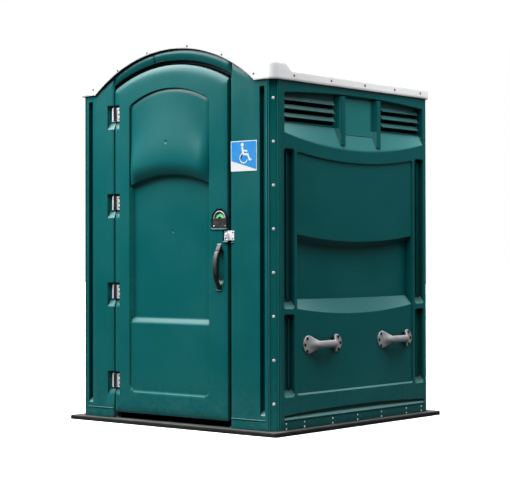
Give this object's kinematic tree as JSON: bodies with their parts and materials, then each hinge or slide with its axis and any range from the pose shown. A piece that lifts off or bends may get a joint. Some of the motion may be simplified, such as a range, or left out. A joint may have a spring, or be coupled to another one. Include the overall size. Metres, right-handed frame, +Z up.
{
  "type": "portable toilet cabin",
  "caption": "Wheelchair-size portable toilet cabin with moulded walls, vaulted white roof, hinged door with lock and handle, louvred vents and a tank with seat and lid inside.",
  "frame": {"origin": "centre of the base underside, on the ground", "axes": "+Z up, the door faces -Y, +X to the right as seen from the front"},
  "size_m": [1.664, 1.664, 2.3119],
  "materials": {
    "wall_green": "moulded teal green polyethylene, satin, slightly mottled",
    "inner_green": "flat teal green sheet inside the door",
    "roof_white": "moulded translucent white, satin",
    "base_black": "black recycled plastic, matt",
    "deck_light": "light grey deck sheet",
    "steel": "zinc plated and stainless fittings",
    "fitting_grey": "mid grey moulded fittings",
    "fitting_black": "black moulded fittings",
    "indicator": "half green, half red disc",
    "tank_grey": "dark grey moulded tank",
    "seat_white": "white moulded seat and lid",
    "pipe_grey": "grey plastic pipe",
    "roll_paper": "soft white tissue"
  },
  "bodies": {
    "cabin": {"base_deck": "deck_light", "base_slab": "base_black", "door_stop": "wall_green", "foot_screws": "steel", "front_panel_left": "wall_green", "front_panel_right": "wall_green", "grab_rail_left": "steel", "grab_rail_right": "steel", "hasp_jamb_eye": "steel", "hinge_jamb_leaf_1": "steel", "hinge_jamb_leaf_2": "steel", "hinge_jamb_leaf_3": "steel", "hinge_jamb_leaf_4": "steel", "hinge_pins": "steel", "jamb_screws": "steel", "paper_holder": "fitting_grey", "paper_spindle": "fitting_grey", "post_front_left": "wall_green", "post_front_right": "wall_green", "post_rear_left": "wall_green", "post_rear_right": "wall_green", "post_rivets": "steel", "rear_panel": "wall_green", "roof": "roof_white", "roof_screws": "steel", "seat_hinge_rod": "steel", "side_handle_bolts": "steel", "side_handle_left_front": "fitting_grey", "side_handle_left_rear": "fitting_grey", "side_handle_right_front": "fitting_grey", "side_handle_right_rear": "fitting_grey", "side_panel_left": "wall_green", "side_panel_right": "wall_green", "sill_clips": "steel", "tank_top": "tank_grey", "vent_cap": "pipe_grey", "vent_pipe": "pipe_grey", "waste_tank": "tank_grey"},
    "door": {"door_outer": "wall_green", "door_inner": "inner_green", "door_screws": "steel", "door_handle": "fitting_black", "lock_face_plate": "fitting_black", "lock_screws": "steel", "hasp_door_eye": "steel", "lock_collar": "fitting_black", "hinge_door_leaf_1": "steel", "hinge_door_leaf_2": "steel", "hinge_door_leaf_3": "steel", "hinge_door_leaf_4": "steel"},
    "latch": {"indicator_disc": "indicator", "lock_spindle": "steel", "lock_lever": "fitting_black", "lock_cam": "steel"},
    "seat": {"toilet_seat": "seat_white", "seat_hinge_ears": "seat_white"},
    "lid": {"seat_lid": "seat_white"},
    "paper": {"paper_roll": "roll_paper"}
  },
  "joints": [
    {"name": "door_swing", "type": "hinge", "parent": "cabin", "child": "door", "pos_m": [-0.4895, -0.783, 1], "axis": [0, 0, -1], "range_deg": [0, 160]},
    {"name": "lock_turn", "type": "hinge", "parent": "door", "child": "latch", "pos_m": [0.372, -0.75, 1.226], "axis": [0, 1, 0], "range_deg": [0, 180]},
    {"name": "seat_lift", "type": "hinge", "parent": "cabin", "child": "seat", "pos_m": [0, 0.65, 0.4945], "axis": [-1, 0, 0], "range_deg": [0, 93]},
    {"name": "lid_lift", "type": "hinge", "parent": "cabin", "child": "lid", "pos_m": [0, 0.65, 0.4945], "axis": [-1, 0, 0], "range_deg": [-95, 0]},
    {"name": "paper_spin", "type": "hinge", "parent": "cabin", "child": "paper", "pos_m": [-0.659, 0.12, 0.826], "axis": [0, 1, 0], "continuous": true}
  ]
}
